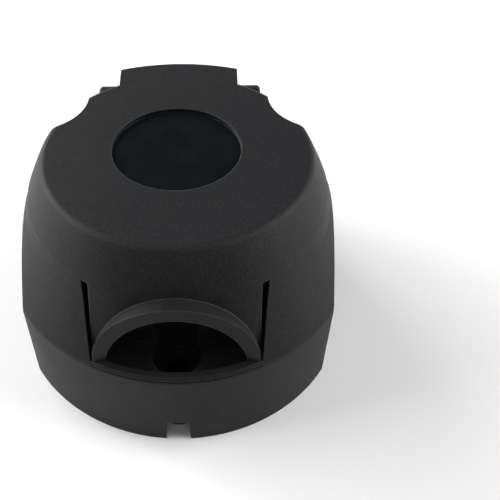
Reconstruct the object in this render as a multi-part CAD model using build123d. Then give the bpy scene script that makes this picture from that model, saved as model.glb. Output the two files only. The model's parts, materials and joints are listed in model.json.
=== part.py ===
"""A 13-pin trailer socket, the half that is screwed to the towing vehicle.

Millimetres. The origin is the centre of the mounting face. +Z points out of the plug mouth,
towards the lid, and +Y points towards the hinge, which is uppermost on the vehicle.
"""

from build123d import *
from math import cos, radians, sin, sqrt
import os

# Mounting screws: an upper pair and a lower one, for M5.
UPPER_SCREW_SPACING = 56.0
UPPER_SCREW_Y = 18.0
LOWER_SCREW_Y = -34.0
SCREW_HOLE_R = 2.75
SEAT = 3.0  # thickness of the plastic under each screw head
UPPER_SEAT_Z = 32.0
LOWER_SEAT_Z = 18.0
UPPER_COUNTERBORE_R = 6.2
LOWER_COUNTERBORE_R = 5.8
BOSS_R = 5.3
BOSS_BORE_R = 3.9
BOSS_TAPER = 0.35  # how much wider each boss is at its root than at the rim
HEAD_WALL_END_Z = 8.0  # the C-shaped walls round the bosses end here
HEAD_WALL_WRAP = 1.15  # how far they reach round, in their own radii

# Housing: a round skirt with two flats, drawn in by a cone to the seam under the lid.
SKIRT_PAST_SCREW = 9.25  # from the lower screw's middle to the skirt's outside
FLAT_PAST_SCREW = 8.75  # from each upper screw's middle to the flat beside it
BEND_Z = 25.2  # the straight skirt ends and the cone starts
BEND_ROUND = 4.0
CONE_DRAW_IN = 7.05  # how much narrower the cone is where it ends
WAIST_Z = 40.0
WAIST_ROUND = 6.0
NECK_H = 3.5  # from the end of the cone to the seam
NECK_DRAW_IN = 1.0
WALL = 2.2
DECK = 2.2  # thickness of the top deck round the mouth

# The middle of each flat is thinned from inside, so a cable can be let in from the side.
KNOCKOUT_WALL = 1.2
KNOCKOUT_LENGTH = 24.8
KNOCKOUT_HEIGHT = 17.0

# Drain notch in the front of the rim.
NOTCH_W = 6.0
NOTCH_TOP_W = 5.3
NOTCH_H = 7.7
NOTCH_DEPTH = 3.3

# Plug mouth, the tube that the plug goes into.
MOUTH_R = 24.0
MOUTH_WALL = 2.0
MOUTH_RISE = 3.0  # the mouth stands above the seam
MOUTH_DEPTH = 19.0
MOUTH_FLOOR = 2.5

# A flat stop under the deck, behind the hinge, and two latch blocks under the mouth's floor.
STOP = (-12.6, 23.9, -5.2, 34.3)  # left, front, right, back
STOP_FOOT_Z = 31.0
LATCH_LEFT = (-23.0, -20.6, -15.3, -12.4)
LATCH_RIGHT = (14.0, -20.2, 27.0, -11.3)
LATCH_H = 7.0
LATCH_HOLE_R = 1.7
LATCH_SLOT_L = 5.6
LATCH_SLOT_W = 1.8

# Slot in the front of the housing that the lid's apron hangs in.
SLOT_HALF_W = 20.2
SLOT_FOOT_HALF_W = 19.3
SLOT_DEPTH = 3.6  # from the seam's radius to the slot's back
SLOT_WELL = 3.1  # the floor lies this far below the sill
SILL_RISE = 1.2  # the sill stands this far above the bend
SILL_BEAD_H = 0.9  # a groove under the sill leaves a bead this high along it
SILL_GROOVE_H = 0.5
SILL_GROOVE = 0.4
LEDGE_Y = -22.8

# Hinge at the top.
HINGE_SETBACK = 0.8  # inside the seam's radius
HINGE_DROP = 1.9  # below the seam
PIN_R = 1.5
PIN_GRIP = 0.01  # the pin is pressed into the ears
PIN_CLEARANCE = 0.05
PIN_END_GAP = 0.4
PIN_CHAMFER = 0.4
EAR_INNER_X = 15.5
EAR_OUTER_X = 21.0
EAR_R = 3.5
EAR_EDGE_ROUND = 1.0
EAR_FOOT_Z = 27.0
EAR_FOOT_DEPTH = 10.5
KNUCKLE_R = 3.1
KNUCKLE_INNER_X = 8.0
HINGE_GAP = 0.5

# Lid: a shallow dome whose flat top falls towards the hinge.
LID_GAP = 0.3
LID_MID_DRAW_IN = 2.2
LID_MID_H = 5.5
LID_TOP_DRAW_IN = 6.6
LID_H = 11.5  # from the seam to the top at its front edge
LID_TILT = 3.65
LID_WALL = 2.3
LID_EDGE_ROUND = 1.8
DIAL_R = 14.9
DIAL_DEPTH = 0.9
DIAL_Y = 2.7
TAB_HALF_W = 14.75
TAB_PAST_HINGE = 2.6
TAB_REAR_R = 46.0
TAB_LIP_RISE = 2.9  # the tab's lower edge stands this far above the seam
TAB_LIP_WALL = 1.6
WAIST_CUT_R = 13.0
WAIST_CUT_GAP = 0.6  # between each hollow and the wall round the seal
WAIST_CUT_WALL = 1.5

# Apron and finger lift at the front of the lid.
APRON_HALF_W = 18.3
APRON_FLARE = 1.7  # how much further out its foot is
APRON_FOOT_GAP = 0.5
ARCH_HALF_W = 19.0  # the arch is the upper end of a tall ellipse
ARCH_H = 30.9
ARCH_DROP = 10.1  # the ellipse's middle lies this far below the apron's foot
ARCH_LIP = 3.0
ARCH_INNER_HALF_W = 16.6
ARCH_INNER_H = 27.6
ARCH_EDGE_ROUND = 0.25

# Seal in the lid, which closes on the mouth's rim.
SEAL_T = 2.2
SEAL_GAP = 0.1
SEAL_FIT = 0.1
SEAL_OVERHANG = 0.6
SEAL_BEVEL = 0.4
RETAINER_WALL = 1.3
RETAINER_DIP = 0.5

# Contact carrier, the insulator that is pushed in from behind.
NOSE_R = 17.5
NOSE_SETBACK = 2.0  # its face lies this far inside the mouth
CARRIER_FIT = 0.1
FLANGE_R = 21.5
FLANGE_T = 3.0
WING_REACH = 26.0
WING_HALF_H = 7.5
WING_RIB_W = 1.2
WING_RIBS = 4
WING_RIB_H = 4.0
WING_RIB_START = 2.0  # the ribs begin this far inside the flange's edge
HEEL_HALF_W = 8.0  # a block under the contacts that the carrier is pushed in by
HEEL = (12.8, 20.2)  # how far its two sides lie below the middle
HEEL_H = 5.0
CREST_HALF_W = 4.8  # and a lower one above them
CREST = (16.6, 20.8)
CREST_H = 3.0
CREST_GROOVE_HALF_W = 2.4
KEY_W = 4.6
KEY_REACH = 1.7
SIDE_KEY_W = 3.0
SIDE_KEY_REACH = 1.1
SIDE_KEY_ANGLES = (205.0, 335.0)

# Contacts: turned brass, a sleeve in front and a screw clamp behind.
BARREL_R = 3.15
BARREL_BORE_R = 2.0
BARREL_BORE_DEPTH = 8.0
BARREL_REAR_Z = 12.5
BARREL_INSET = 1.5  # how far the barrel sits into the carrier
SLEEVE_R = 2.1
SLEEVE_BORE_R = 1.3
SLEEVE_BORE_DEPTH = 12.0
SLEEVE_SETBACK = 1.0
SLEEVE_SLIT = 0.5
SLEEVE_SLIT_DEPTH = 9.6
CONTACT_FIT = 0.05
GUIDE_R = 1.6  # lead-in of each hole in the nose
OUTER_RING_R = 13.0
INNER_RING_R = 5.3
LONE_R = 8.4

# Clamp screws: one in the side of each barrel.
CLAMP_R = 1.2
CLAMP_TIP = 1.2
CLAMP_END = 4.0
CLAMP_Z = 16.0
CLAMP_SLOT = 0.5
CLAMP_FIT = 0.02

# Lid spring: a torsion spring round the middle of the pin.
WIRE_R = 0.5
COIL_FIT = 0.4
COIL_TURNS = 6
COIL_LENGTH = 12.0

# Each contact: its ring's radius, its place round it, and which way its clamp screw points.
CONTACT_ANGLES = (
    (OUTER_RING_R, 90, 90),
    (OUTER_RING_R, 54, 90),
    (OUTER_RING_R, 18, 0),
    (OUTER_RING_R, 342, 0),
    (OUTER_RING_R, 306, 0),
    (OUTER_RING_R, 234, 180),
    (OUTER_RING_R, 198, 180),
    (OUTER_RING_R, 162, 180),
    (OUTER_RING_R, 126, 90),
    (INNER_RING_R, 90, 125),
    (INNER_RING_R, 200, 164),
    (INNER_RING_R, 342, 328),
    (LONE_R, 270, 270),
)

BODY_R = SKIRT_PAST_SCREW - LOWER_SCREW_Y
BODY_HALF_W = UPPER_SCREW_SPACING / 2 + FLAT_PAST_SCREW
WAIST_R = BODY_R - CONE_DRAW_IN
SEAM_R = WAIST_R - NECK_DRAW_IN
SEAM_Z = WAIST_Z + NECK_H
MOUTH_RIM_Z = SEAM_Z + MOUTH_RISE
MOUTH_FLOOR_Z = MOUTH_RIM_Z - MOUTH_DEPTH
FLANGE_Z = MOUTH_FLOOR_Z - MOUTH_FLOOR
SLOT_BACK_R = SEAM_R - SLOT_DEPTH
SLOT_SILL_Z = BEND_Z + SILL_RISE
SLOT_FLOOR_Z = SLOT_SILL_Z - SLOT_WELL
HINGE_Y = SEAM_R - HINGE_SETBACK
HINGE_Z = SEAM_Z - HINGE_DROP
COIL_R = PIN_R + COIL_FIT + WIRE_R
LID_Z = SEAM_Z + LID_GAP
LID_MID_R = SEAM_R - LID_MID_DRAW_IN
LID_MID_Z = SEAM_Z + LID_MID_H
LID_TOP_R = SEAM_R - LID_TOP_DRAW_IN
LID_TOP_Z = SEAM_Z + LID_H
SEAL_INNER_R = MOUTH_R - SEAL_OVERHANG
SEAL_OUTER_R = MOUTH_R + MOUTH_WALL + SEAL_OVERHANG
SEAL_SEAT_Z = MOUTH_RIM_Z + SEAL_GAP + SEAL_T
WAIST_CUT_REACH_R = SEAL_OUTER_R + RETAINER_WALL + WAIST_CUT_GAP
TAB_LIP_Z = SEAM_Z + TAB_LIP_RISE
APRON_FOOT_R = SEAM_R + APRON_FLARE
APRON_FOOT_Z = SLOT_FLOOR_Z + APRON_FOOT_GAP
ARCH_CENTRE_Z = APRON_FOOT_Z - ARCH_DROP
NOSE_FRONT_Z = MOUTH_RIM_Z - NOSE_SETBACK
UPPER_SCREWS = ((-UPPER_SCREW_SPACING / 2, UPPER_SCREW_Y), (UPPER_SCREW_SPACING / 2, UPPER_SCREW_Y))
LOWER_SCREW = (0.0, LOWER_SCREW_Y)
FAR = 3 * BODY_R  # longer than anything that is cut
OVER = 1.0  # how far a cut runs past the face that it opens
JOIN = 1.0  # how far one form runs into the next where both are one piece


def block(low, high):
    """A box between two opposite corners."""
    size = [high[i] - low[i] for i in range(3)]
    middle = [(high[i] + low[i]) / 2 for i in range(3)]
    return Pos(*middle) * Box(*size)


def column(radius, low, high, at=(0.0, 0.0)):
    """A round column along Z between two heights."""
    return Pos(at[0], at[1], (low + high) / 2) * Cylinder(radius, high - low)


def turned(points):
    """A body turned round Z from a closed outline of (radius, height) points."""
    return revolve(Plane.XZ * make_face(Polyline(*points, close=True)), Axis.Z)


def on_hinge(radius, low, high):
    """A round bar along the hinge axis between two places across the width."""
    bar = Rot(0, 90, 0) * Cylinder(radius, high - low)
    return Pos((low + high) / 2, HINGE_Y, HINGE_Z) * bar


def corner_nearest(face, point):
    """The corner of a flat face that lies nearest to a point."""
    return min(face.vertices(), key=lambda corner: (Vector(corner) - Vector(*point)).length)


def outer_form(inset, low, high):
    """The housing's outer form, drawn in by a wall's thickness and cut off between two heights."""
    slope = (BODY_R - WAIST_R) / (WAIST_Z - BEND_Z)
    lowered = inset * (sqrt(1 + slope**2) - 1) / slope
    cone_foot = (BODY_R - inset, BEND_Z - lowered)
    cone_head = (WAIST_R - inset, WAIST_Z)
    outline = Polyline(
        (0, low),
        (BODY_R - inset, low),
        cone_foot,
        cone_head,
        (SEAM_R - inset, SEAM_Z),
        (0, SEAM_Z),
        close=True,
    )
    face = make_face(outline)
    face = fillet(corner_nearest(face, cone_foot), BEND_ROUND)
    face = fillet(corner_nearest(face, cone_head), WAIST_ROUND)
    form = revolve(Plane.XZ * face, Axis.Z)
    half = BODY_HALF_W - inset
    return form & block((-half, -FAR, low), (half, FAR, high))


def facing_centre(at, radius, inner_radius, low, high):
    """A C-shaped wall round a screw, closed towards the middle of the housing."""
    ring = column(radius, low, high, at) - column(inner_radius, low - OVER, high + OVER, at)
    reach = sqrt(at[0] ** 2 + at[1] ** 2)
    toward = (at[0] / reach, at[1] / reach)
    keep = Pos(at[0] - toward[0] * radius, at[1] - toward[1] * radius, (low + high) / 2)
    return ring & (keep * Cylinder(radius * HEAD_WALL_WRAP, high - low))


def slot_prism(grow, low, high):
    """The tapered prism that the front slot follows, wider by a wall where it grows."""
    taper = (SLOT_HALF_W - SLOT_FOOT_HALF_W) / (SEAM_Z - SLOT_SILL_Z)
    half_low = SLOT_FOOT_HALF_W + grow + taper * (low - SLOT_SILL_Z)
    half_high = SLOT_FOOT_HALF_W + grow + taper * (high - SLOT_SILL_Z)
    face = Polyline((-half_low, low), (half_low, low), (half_high, high), (-half_high, high), close=True)
    return extrude(Plane.XZ * make_face(face), FAR)


def screw_tower(at, seat_z, counterbore_r, top):
    """What carries one mounting screw: the seat, the boss behind it and the wall round its head."""
    tower = column(counterbore_r + WALL, seat_z - SEAT, top, at)
    boss = Pos(at[0], at[1], 0) * Cone(
        BOSS_R, BOSS_R + BOSS_TAPER, seat_z, align=(Align.CENTER, Align.CENTER, Align.MIN)
    )
    rib_wall = facing_centre(at, counterbore_r + WALL, counterbore_r, HEAD_WALL_END_Z, seat_z)
    return tower + boss + rib_wall


def screw_opening(at, seat_z, counterbore_r):
    """What is cut for one mounting screw, from the boss's bore to the room for a driver."""
    opening = column(BOSS_BORE_R, -OVER, seat_z - SEAT, at)
    opening += column(SCREW_HOLE_R, -OVER, seat_z + OVER, at)
    return opening + column(counterbore_r, seat_z, FAR, at)


def hinge_ears():
    """The two ears that carry the pin, each a round eye on a foot that runs down the cone."""
    eye = Pos(HINGE_Y, HINGE_Z) * Circle(EAR_R)
    foot = Polyline(
        (HINGE_Y - EAR_FOOT_DEPTH, HINGE_Z),
        (HINGE_Y + EAR_R, HINGE_Z),
        (HINGE_Y + EAR_R, EAR_FOOT_Z),
        (HINGE_Y - EAR_FOOT_DEPTH, EAR_FOOT_Z),
        close=True,
    )
    plane = Plane(origin=(EAR_INNER_X, 0, 0), x_dir=(0, 1, 0), z_dir=(1, 0, 0))
    ear = extrude(plane * (eye + make_face(foot)), EAR_OUTER_X - EAR_INNER_X)
    ear = fillet(ear.faces().sort_by(Axis.X)[-1].edges(), EAR_EDGE_ROUND)
    ears = ear + mirror(ear, about=Plane.YZ)
    return ears - column(MOUTH_R + MOUTH_WALL + WALL, 0, FAR)


def over(place, low, high):
    """A box over a rectangle (left, front, right, back) between two heights."""
    left, front, right, back = place
    return block((left, front, low), (right, back, high))


def latch_blocks():
    """The two blocks under the mouth's floor, one with a hole and one with a slot."""
    foot = FLANGE_Z - LATCH_H
    left = over(LATCH_LEFT, foot, FLANGE_Z + JOIN)
    middle = ((LATCH_LEFT[0] + LATCH_LEFT[2]) / 2, (LATCH_LEFT[1] + LATCH_LEFT[3]) / 2)
    left -= column(LATCH_HOLE_R, 0, FLANGE_Z, middle)
    right = over(LATCH_RIGHT, foot, FLANGE_Z + JOIN)
    slot = Box(LATCH_SLOT_L, LATCH_SLOT_W, LATCH_H)
    right -= Pos((LATCH_RIGHT[0] + LATCH_RIGHT[2]) / 2, (LATCH_RIGHT[1] + LATCH_RIGHT[3]) / 2, foot) * slot
    return (left + right) - column(FLANGE_R + CARRIER_FIT, 0, FLANGE_Z)


def make_moulding():
    """The moulded housing: skirt, cone, deck, mouth, screw towers, front slot and hinge ears."""
    skin = outer_form(0, 0, SEAM_Z)
    shell = skin - outer_form(WALL, -OVER, SEAM_Z - DECK)

    mouth = column(MOUTH_R + MOUTH_WALL, FLANGE_Z, MOUTH_RIM_Z)
    slot_wall = slot_prism(WALL, SLOT_FLOOR_Z - WALL, SEAM_Z) - column(SLOT_BACK_R - WALL, 0, FAR)
    ledge = block((-FAR, -FAR, SLOT_FLOOR_Z - WALL), (FAR, LEDGE_Y, SLOT_FLOOR_Z))
    towers = screw_tower(LOWER_SCREW, LOWER_SEAT_Z, LOWER_COUNTERBORE_R, SEAM_Z)
    for at in UPPER_SCREWS:
        towers += screw_tower(at, UPPER_SEAT_Z, UPPER_COUNTERBORE_R, SEAM_Z)
    hinge_back = on_hinge(KNUCKLE_R + HINGE_GAP + WALL, -EAR_OUTER_X, EAR_OUTER_X)
    inner = (slot_wall + ledge + towers + hinge_back + over(STOP, STOP_FOOT_Z, SEAM_Z)) & skin

    body = shell + mouth + inner + hinge_ears() + latch_blocks()
    body -= column(MOUTH_R, MOUTH_FLOOR_Z, FAR)
    body -= column(NOSE_R + CARRIER_FIT, 0, FAR)
    body -= key_forms(CARRIER_FIT, 0, MOUTH_FLOOR_Z + OVER)
    body -= slot_opening()
    body -= sill_groove()
    body -= screw_opening(LOWER_SCREW, LOWER_SEAT_Z, LOWER_COUNTERBORE_R)
    for at in UPPER_SCREWS:
        body -= screw_opening(at, UPPER_SEAT_Z, UPPER_COUNTERBORE_R)
    body -= on_hinge(KNUCKLE_R + HINGE_GAP, -EAR_INNER_X, EAR_INNER_X)
    body -= on_hinge(PIN_R - PIN_GRIP, -EAR_OUTER_X - OVER, EAR_OUTER_X + OVER)
    body -= rim_notch()
    for side in (-1, 1):
        body -= knockout(side)
    return body


def split_moulding():
    """The moulding in three pieces that meet face to face: its shell, its mouth and its bosses."""
    whole = make_moulding()
    mouth_room = column(MOUTH_R + MOUTH_WALL, FLANGE_Z, MOUTH_RIM_Z)
    for place in (LATCH_LEFT, LATCH_RIGHT):
        mouth_room += over(place, FLANGE_Z - LATCH_H, FLANGE_Z + JOIN)
    boss_room = column(LOWER_COUNTERBORE_R + WALL, 0, SLOT_FLOOR_Z - WALL, LOWER_SCREW)
    for at in UPPER_SCREWS:
        boss_room += column(UPPER_COUNTERBORE_R + WALL, 0, UPPER_SEAT_Z, at)
    boss_room = (boss_room & outer_form(WALL, 0, SEAM_Z - DECK)) - mouth_room
    return whole - mouth_room - boss_room, whole & mouth_room, whole & boss_room


def slot_opening():
    """The front slot: a well behind the sill, open through the skin above it."""
    well = slot_prism(0, SLOT_FLOOR_Z, FAR) & column(BODY_R - WALL, SLOT_FLOOR_Z, FAR)
    window = slot_prism(0, SLOT_SILL_Z, FAR)
    return well + window - column(SLOT_BACK_R, 0, FAR)


def sill_groove():
    """The fine groove that leaves a bead along the slot's sill."""
    high = SLOT_SILL_Z - SILL_BEAD_H
    low = high - SILL_GROOVE_H
    groove = column(BODY_R + OVER, low, high) - column(BODY_R - SILL_GROOVE, low - OVER, high + OVER)
    return groove & slot_prism(0, low, high)


def rim_notch():
    """The drain notch through the skirt, a little narrower at its top."""
    half, top_half = NOTCH_W / 2, NOTCH_TOP_W / 2
    foot = (-half, -OVER), (half, -OVER), (half, 0)
    corners = foot + ((top_half, NOTCH_H), (-top_half, NOTCH_H), (-half, 0))
    notch = extrude(Plane.XZ * make_face(Polyline(*corners, close=True)), FAR)
    return notch - column(BODY_R - NOTCH_DEPTH, -OVER, NOTCH_H + OVER)


def knockout(side):
    """The thin place inside one flat."""
    outer = side * (BODY_HALF_W - KNOCKOUT_WALL)
    inner = side * (BODY_HALF_W - KNOCKOUT_WALL - WALL)
    half = KNOCKOUT_LENGTH / 2
    return block((min(outer, inner), -half, -OVER), (max(outer, inner), half, KNOCKOUT_HEIGHT))


def top_plane(drop):
    """The tilted plane of the lid's flat top, moved down by a drop."""
    front = Vector(0, -LID_TOP_R, LID_TOP_Z)
    plane = Plane(origin=front, x_dir=(1, 0, 0), z_dir=(0, sin(radians(LID_TILT)), cos(radians(LID_TILT))))
    return plane.offset(-drop)


def above(plane):
    """Everything above a plane."""
    return plane * Pos(0, 0, FAR / 2) * Box(2 * FAR, 2 * FAR, FAR)


def dome(inset, low):
    """The lid's turned form, drawn in by a wall's thickness, cut off by the tilted top."""
    arc_end = LID_TOP_Z + LID_WALL
    side = ThreePointArc(
        (SEAM_R - inset, LID_Z), (LID_MID_R - inset, LID_MID_Z), (LID_TOP_R - inset, arc_end)
    )
    rest = Polyline((LID_TOP_R - inset, arc_end), (0, arc_end), (0, low), (SEAM_R - inset, low))
    edges = [side, rest]
    if low < LID_Z:
        edges.append(Line((SEAM_R - inset, low), (SEAM_R - inset, LID_Z)))
    form = revolve(Plane.XZ * make_face(Curve() + edges), Axis.Z)
    form -= above(top_plane(inset))
    rim = form.edges().sort_by(Axis.Z)[-1]
    return fillet(rim, LID_EDGE_ROUND)


def lid_waists(grow):
    """The two shallow hollows in the lid's sides, beside the hinge, over the mounting screws."""
    cuts = Part()
    reach = sqrt((UPPER_SCREW_SPACING / 2) ** 2 + UPPER_SCREW_Y**2)
    centre = WAIST_CUT_REACH_R + WAIST_CUT_R
    for x, y in UPPER_SCREWS:
        cuts += column(WAIST_CUT_R + grow, 0, FAR, (x / reach * centre, y / reach * centre))
    return cuts


def apron_band(out, depth, low):
    """A curved band in front of the slot that widens towards its foot, with its back at a depth."""
    slope = (APRON_FOOT_R - SEAM_R) / (LID_Z - APRON_FOOT_Z)
    head = SEAM_R + out
    foot = SEAM_R + slope * (LID_Z - low) + out
    return turned(((head - depth, LID_Z), (head, LID_Z), (foot, low), (foot - depth, low)))


def arch_prism(half_width, height):
    """A prism along Y with a half-round head, for the finger lift and the opening under it."""
    head = Pos(0, ARCH_CENTRE_Z) * Ellipse(half_width, height)
    legs = Pos(0, (ARCH_CENTRE_Z - FAR) / 2) * Rectangle(2 * half_width, ARCH_CENTRE_Z + FAR)
    head = head & (Pos(0, ARCH_CENTRE_Z + FAR / 2) * Rectangle(FAR, FAR))
    return extrude(Plane.XZ * (head + legs), FAR)


def make_apron():
    """The apron that hangs in the slot, and the arch on it that a finger lifts."""
    half = block((-APRON_HALF_W, -FAR, APRON_FOOT_Z), (APRON_HALF_W, 0, FAR))
    plate = apron_band(0, LID_WALL, APRON_FOOT_Z) & half
    root = turned(
        (
            (SEAM_R - LID_WALL, LID_Z - LID_WALL),
            (SEAM_R - JOIN, LID_Z - LID_WALL),
            (SEAM_R - JOIN, LID_Z + JOIN),
            (SEAM_R - LID_WALL, LID_Z + JOIN),
        )
    )
    lip_top = ARCH_CENTRE_Z + ARCH_H
    slope = (APRON_FOOT_R - SEAM_R) / (LID_Z - APRON_FOOT_Z)
    lip_band = turned(
        (
            (SEAM_R - JOIN, lip_top),
            (SEAM_R + ARCH_LIP, lip_top),
            (APRON_FOOT_R + ARCH_LIP - slope, APRON_FOOT_Z),
            (APRON_FOOT_R - JOIN, APRON_FOOT_Z),
        )
    )
    lip = lip_band & arch_prism(ARCH_HALF_W, ARCH_H) & half
    front = lip.faces().sort_by(lambda face: face.center().Y)[0]
    lip = fillet(front.edges().filter_by(lambda edge: edge.center().Z > APRON_FOOT_Z), ARCH_EDGE_ROUND)
    return plate + (root & half) + lip - arch_prism(ARCH_INNER_HALF_W, ARCH_INNER_H)


def make_tab():
    """The tab over the hinge, with a knuckle under each end of it."""
    middle = (0, HINGE_Y + TAB_PAST_HINGE - TAB_REAR_R)
    tab = column(TAB_REAR_R, TAB_LIP_Z, LID_TOP_Z, middle)
    tab &= block((-TAB_HALF_W, 0, 0), (TAB_HALF_W, FAR, FAR))
    tab -= column(LID_MID_R - LID_WALL, 0, FAR)
    tab -= above(top_plane(0))
    hollow = column(TAB_REAR_R - TAB_LIP_WALL, 0, FAR, middle)
    hollow &= block((-TAB_HALF_W + LID_WALL, HINGE_Y - KNUCKLE_R, 0), (TAB_HALF_W - LID_WALL, FAR, FAR))
    hollow -= above(top_plane(LID_WALL))
    tab -= hollow
    for low, high in ((-TAB_HALF_W, -KNUCKLE_INNER_X), (KNUCKLE_INNER_X, TAB_HALF_W)):
        web = block(
            (low, HINGE_Y - KNUCKLE_R + HINGE_GAP, HINGE_Z), (high, HINGE_Y + KNUCKLE_R - HINGE_GAP, FAR)
        )
        tab += (web & column(TAB_REAR_R, 0, FAR, middle)) - above(top_plane(JOIN))
        tab += on_hinge(KNUCKLE_R, low, high)
    return tab


def make_lid():
    """The flip lid: domed cover, apron with its finger lift, hinge tab and the seal's seat."""
    cover = dome(0, LID_Z) - lid_waists(0)
    hollow = dome(LID_WALL, LID_Z - OVER) - lid_waists(WAIST_CUT_WALL)
    retainer = column(SEAL_INNER_R - SEAL_FIT, MOUTH_RIM_Z - RETAINER_DIP, LID_TOP_Z)
    seat = column(SEAL_OUTER_R + RETAINER_WALL, SEAL_SEAT_Z, LID_TOP_Z)
    fence = column(SEAL_OUTER_R + RETAINER_WALL, MOUTH_RIM_Z, LID_TOP_Z)
    fence -= column(SEAL_OUTER_R + SEAL_FIT, 0, FAR)
    rings = retainer + seat + fence - column(SEAL_INNER_R - SEAL_FIT - RETAINER_WALL, 0, FAR)
    cover = (cover - hollow) + ((rings & dome(JOIN, LID_Z)) - lid_waists(0))
    lid = cover + make_apron() + make_tab()
    dial = top_plane(DIAL_DEPTH) * Pos(0, (LID_TOP_R + DIAL_Y) / cos(radians(LID_TILT)), 0)
    lid -= dial * Pos(0, 0, FAR / 2) * Cylinder(DIAL_R, FAR)
    lid -= on_hinge(COIL_R + WIRE_R + HINGE_GAP, -KNUCKLE_INNER_X, KNUCKLE_INNER_X)
    for side in (-1, 1):
        ear_room = sorted((side * TAB_HALF_W, side * (EAR_OUTER_X + HINGE_GAP)))
        lid -= on_hinge(EAR_R + HINGE_GAP, *ear_room)
    return lid - on_hinge(PIN_R + PIN_CLEARANCE, -TAB_HALF_W - OVER, TAB_HALF_W + OVER)


def make_seal():
    """The flat rubber ring in the lid, bevelled where it meets the mouth's rim."""
    low = MOUTH_RIM_Z + SEAL_GAP
    foot = (SEAL_INNER_R + SEAL_OVERHANG, low), (SEAL_OUTER_R - SEAL_OVERHANG, low)
    outside = (SEAL_OUTER_R, low + SEAL_BEVEL), (SEAL_OUTER_R, SEAL_SEAT_Z)
    inside = (SEAL_INNER_R, SEAL_SEAT_Z), (SEAL_INNER_R, low + SEAL_BEVEL)
    return turned(foot + outside + inside)


def key_forms(grow, low, high):
    """The ribs along the nose that let the plug in one way only."""
    reach = NOSE_R + KEY_REACH + grow
    forms = block((-KEY_W / 2 - grow, 0, low), (KEY_W / 2 + grow, reach, high))
    side_reach = NOSE_R + SIDE_KEY_REACH + grow
    for angle in SIDE_KEY_ANGLES:
        rib = block((0, -SIDE_KEY_W / 2 - grow, low), (side_reach, SIDE_KEY_W / 2 + grow, high))
        forms += Rot(0, 0, angle) * rib
    return forms


def contact_places():
    """Middle of each contact and the angle that its clamp screw points at."""
    places = []
    for ring, angle, screw in CONTACT_ANGLES:
        at = (ring * cos(radians(angle)), ring * sin(radians(angle)))
        places.append((at, screw))
    return places


def make_carrier():
    """The insulator: a round nose with the contact holes, a flange and two ribbed wings."""
    rear = FLANGE_Z - FLANGE_T
    carrier = column(NOSE_R, rear, NOSE_FRONT_Z) + column(FLANGE_R, rear, FLANGE_Z)
    carrier += key_forms(0, FLANGE_Z - JOIN, NOSE_FRONT_Z - KEY_REACH)
    for side in (-1, 1):
        low, high = sorted((0, side * WING_REACH))
        wing = block((low, -WING_HALF_H, rear), (high, WING_HALF_H, FLANGE_Z))
        pitch = (2 * WING_HALF_H - WING_RIB_W) / (WING_RIBS - 1)
        for row in range(WING_RIBS):
            start = -WING_HALF_H + row * pitch
            rib_low, rib_high = sorted((side * (FLANGE_R - WING_RIB_START), side * WING_REACH))
            wing += block((rib_low, start, rear - WING_RIB_H), (rib_high, start + WING_RIB_W, rear))
        carrier += wing
    heel = block((-HEEL_HALF_W, -HEEL[1], rear - HEEL_H), (HEEL_HALF_W, -HEEL[0], rear + JOIN))
    crest = block((-CREST_HALF_W, CREST[0], rear - CREST_H), (CREST_HALF_W, CREST[1], rear + JOIN))
    groove = block((-CREST_GROOVE_HALF_W, 0, 0), (CREST_GROOVE_HALF_W, FAR, rear))
    carrier += heel + (crest - groove)
    for at, _ in contact_places():
        carrier -= column(BARREL_R + CONTACT_FIT, 0, rear + BARREL_INSET, at)
        carrier -= column(SLEEVE_R + CONTACT_FIT, 0, NOSE_FRONT_Z - SLEEVE_SETBACK, at)
        carrier -= column(GUIDE_R, 0, FAR, at)
    return carrier


def make_contact(at, screw_angle):
    """One contact: a split sleeve for the plug's pin and a barrel for the wire."""
    shoulder = FLANGE_Z - FLANGE_T + BARREL_INSET
    front = NOSE_FRONT_Z - SLEEVE_SETBACK
    contact = column(BARREL_R, BARREL_REAR_Z, shoulder) + column(SLEEVE_R, BARREL_REAR_Z, front)
    contact -= column(BARREL_BORE_R, BARREL_REAR_Z - OVER, BARREL_REAR_Z + BARREL_BORE_DEPTH)
    contact -= column(SLEEVE_BORE_R, front - SLEEVE_BORE_DEPTH, front + OVER)
    slit_low = front - SLEEVE_SLIT_DEPTH
    contact -= block((-FAR, -SLEEVE_SLIT / 2, slit_low), (FAR, SLEEVE_SLIT / 2, front + OVER))
    hole = Rot(0, 90, 0) * Pos(0, 0, FAR / 2) * Cylinder(CLAMP_R + CLAMP_FIT, FAR)
    contact -= Pos(0, 0, CLAMP_Z) * Rot(0, 0, screw_angle) * hole
    return Pos(at[0], at[1], 0) * contact


def make_clamp_screw(at, screw_angle):
    """One headless clamp screw, slotted at its outer end."""
    screw = Pos(0, 0, (CLAMP_TIP + CLAMP_END) / 2) * Cylinder(CLAMP_R, CLAMP_END - CLAMP_TIP)
    screw -= block((-CLAMP_SLOT / 2, -FAR, CLAMP_END - CLAMP_SLOT), (CLAMP_SLOT / 2, FAR, FAR))
    return Pos(at[0], at[1], CLAMP_Z) * Rot(0, 0, screw_angle) * Rot(0, 90, 0) * screw


def make_pin():
    """The hinge pin, with a small chamfer at each end."""
    half = EAR_OUTER_X - PIN_END_GAP
    pin = on_hinge(PIN_R, -half, half)
    return chamfer(pin.edges().filter_by(GeomType.CIRCLE), PIN_CHAMFER)


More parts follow.
